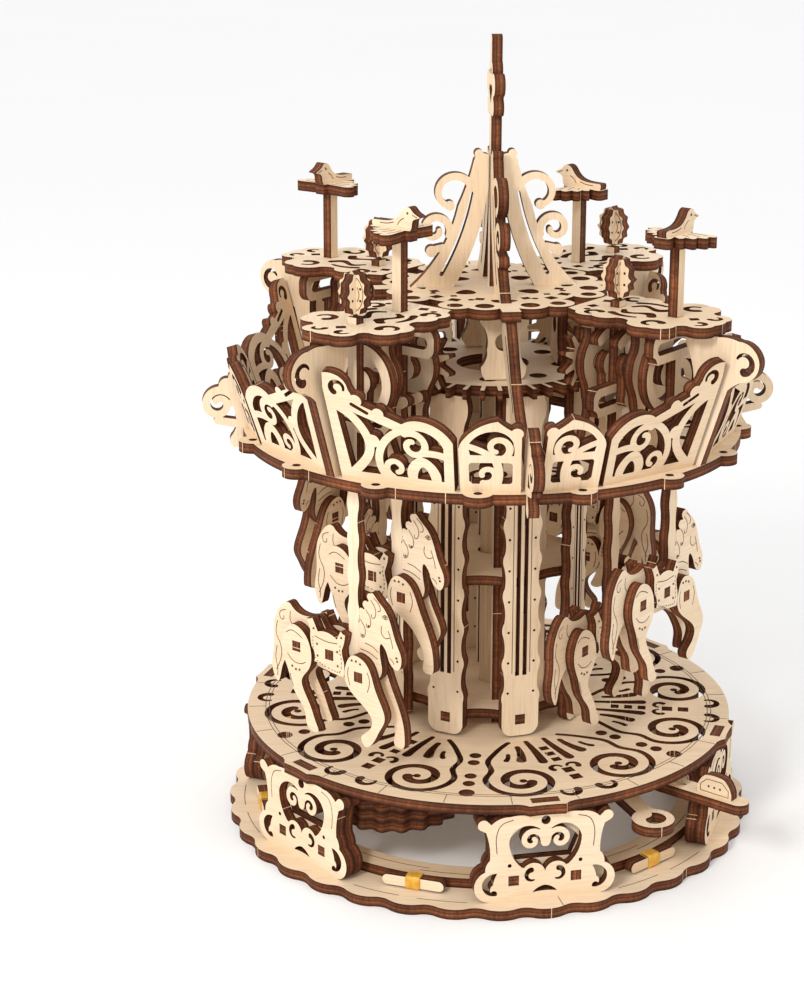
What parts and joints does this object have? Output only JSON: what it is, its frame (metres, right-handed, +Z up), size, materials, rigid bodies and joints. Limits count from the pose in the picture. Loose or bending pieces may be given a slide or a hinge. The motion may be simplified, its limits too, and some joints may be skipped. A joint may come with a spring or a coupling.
{
  "type": "mechanical carousel model",
  "caption": "Tabletop mechanical carousel of laser-cut plywood: turning canopy, crankshafts, galloping horses on poles, fixed column, scrolled deck and rippled base ring.",
  "frame": {"origin": "centre of the flat underside of the base ring, on the rotation axis", "axes": "+Z up along the rotation axis; the front of the model is -Y"},
  "size_m": [0.2216, 0.2216, 0.3092],
  "materials": {
    "ply": "bare birch plywood with laser-burnt dark edges",
    "dowel": "turned birch rod",
    "amber_rubber": "translucent amber rubber band"
  },
  "bodies": {
    "root": {"base_ring": "ply", "raised_ring": "ply", "side_brackets": "ply", "bracket_backs": "ply", "bracket_pegs": "ply", "band_toggles": "ply", "toggle_bands": "amber_rubber", "deck": "ply", "column_plates": "ply", "column_discs": "ply", "column_posts": "ply", "ring_gear": "ply", "pivot_pins": "dowel", "motor_band": "amber_rubber"},
    "rotor": {"drive_shaft": "dowel", "shaft_collar": "ply", "drive_gear": "ply", "canopy_floor": "ply", "small_panels": "ply", "large_panels": "ply", "rim_scrolls": "ply", "rim_boards": "ply", "bearing_plates": "ply", "top_plate": "ply", "petals": "ply", "tall_fins": "ply", "crown_fins": "ply", "finial": "ply"},
    "drum": {"drum": "ply"},
    "stop_lever": {"stop_lever": "ply", "stop_plate": "ply"},
    "handle_lever": {"handle_lever": "ply"},
    "crank_1": {"crankshaft_1": "ply"},
    "horse_1": {"horse_1": "ply", "pole_1": "ply", "lantern_1": "ply"},
    "horse_2": {"horse_2": "ply", "pole_2": "ply", "bird_2": "ply"},
    "crank_2": {"crankshaft_2": "ply"},
    "horse_3": {"horse_3": "ply", "pole_3": "ply", "bird_3": "ply"},
    "horse_4": {"horse_4": "ply", "pole_4": "ply", "lantern_4": "ply"},
    "crank_3": {"crankshaft_3": "ply"},
    "horse_5": {"horse_5": "ply", "pole_5": "ply", "lantern_5": "ply"},
    "horse_6": {"horse_6": "ply", "pole_6": "ply", "bird_6": "ply"},
    "crank_4": {"crankshaft_4": "ply"},
    "horse_7": {"horse_7": "ply", "pole_7": "ply", "bird_7": "ply"},
    "horse_8": {"horse_8": "ply", "pole_8": "ply", "lantern_8": "ply"}
  },
  "joints": [
    {"name": "rotor_spin", "type": "hinge", "parent": "root", "child": "rotor", "pos_m": [0, 0, 0.15], "axis": [0, 0, 1], "continuous": true},
    {"name": "drum_spin", "type": "hinge", "parent": "root", "child": "drum", "pos_m": [-0.03568, -0.04911, 0.028], "axis": [0, 0, 1], "continuous": true},
    {"name": "stop_swing", "type": "hinge", "parent": "root", "child": "stop_lever", "pos_m": [0.058, -0.046, 0.032], "axis": [0, 0, 1], "range_deg": [-10, 0]},
    {"name": "handle_swing", "type": "hinge", "parent": "root", "child": "handle_lever", "pos_m": [0.0515, -0.051, 0.026], "axis": [0, 0, 1], "range_deg": [-6, 6]},
    {"name": "crank_spin_1", "type": "hinge", "parent": "rotor", "child": "crank_1", "pos_m": [-0.03569, -0.04823, 0.192], "axis": [-0.5948, -0.8039, 0], "continuous": true},
    {"name": "gallop_1", "type": "slide", "parent": "rotor", "child": "horse_1", "axis": [0, 0, 1], "range_m": [0, 0.024]},
    {"name": "gallop_2", "type": "slide", "parent": "rotor", "child": "horse_2", "axis": [0, 0, 1], "range_m": [-0.024, 0]},
    {"name": "crank_spin_2", "type": "hinge", "parent": "rotor", "child": "crank_2", "pos_m": [0.04823, -0.03569, 0.192], "axis": [0.8039, -0.5948, 0], "continuous": true},
    {"name": "gallop_3", "type": "slide", "parent": "rotor", "child": "horse_3", "axis": [0, 0, 1], "range_m": [-0.024, 0]},
    {"name": "gallop_4", "type": "slide", "parent": "rotor", "child": "horse_4", "axis": [0, 0, 1], "range_m": [0, 0.024]},
    {"name": "crank_spin_3", "type": "hinge", "parent": "rotor", "child": "crank_3", "pos_m": [0.03569, 0.04823, 0.192], "axis": [0.5948, 0.8039, 0], "continuous": true},
    {"name": "gallop_5", "type": "slide", "parent": "rotor", "child": "horse_5", "axis": [0, 0, 1], "range_m": [0, 0.024]},
    {"name": "gallop_6", "type": "slide", "parent": "rotor", "child": "horse_6", "axis": [0, 0, 1], "range_m": [-0.024, 0]},
    {"name": "crank_spin_4", "type": "hinge", "parent": "rotor", "child": "crank_4", "pos_m": [-0.04823, 0.03569, 0.192], "axis": [-0.8039, 0.5948, 0], "continuous": true},
    {"name": "gallop_7", "type": "slide", "parent": "rotor", "child": "horse_7", "axis": [0, 0, 1], "range_m": [-0.024, 0]},
    {"name": "gallop_8", "type": "slide", "parent": "rotor", "child": "horse_8", "axis": [0, 0, 1], "range_m": [0, 0.024]}
  ],
  "couplings": [
    {"joint": "drum_spin", "follows": "rotor_spin", "ratio": -1.4},
    {"joint": "crank_spin_1", "follows": "rotor_spin", "ratio": -4},
    {"joint": "gallop_2", "follows": "gallop_1", "ratio": -1},
    {"joint": "crank_spin_2", "follows": "rotor_spin", "ratio": -4},
    {"joint": "gallop_3", "follows": "gallop_1", "ratio": -1},
    {"joint": "gallop_4", "follows": "gallop_1", "ratio": 1},
    {"joint": "crank_spin_3", "follows": "rotor_spin", "ratio": -4},
    {"joint": "gallop_5", "follows": "gallop_1", "ratio": 1},
    {"joint": "gallop_6", "follows": "gallop_1", "ratio": -1},
    {"joint": "crank_spin_4", "follows": "rotor_spin", "ratio": -4},
    {"joint": "gallop_7", "follows": "gallop_1", "ratio": -1},
    {"joint": "gallop_8", "follows": "gallop_1", "ratio": 1}
  ]
}
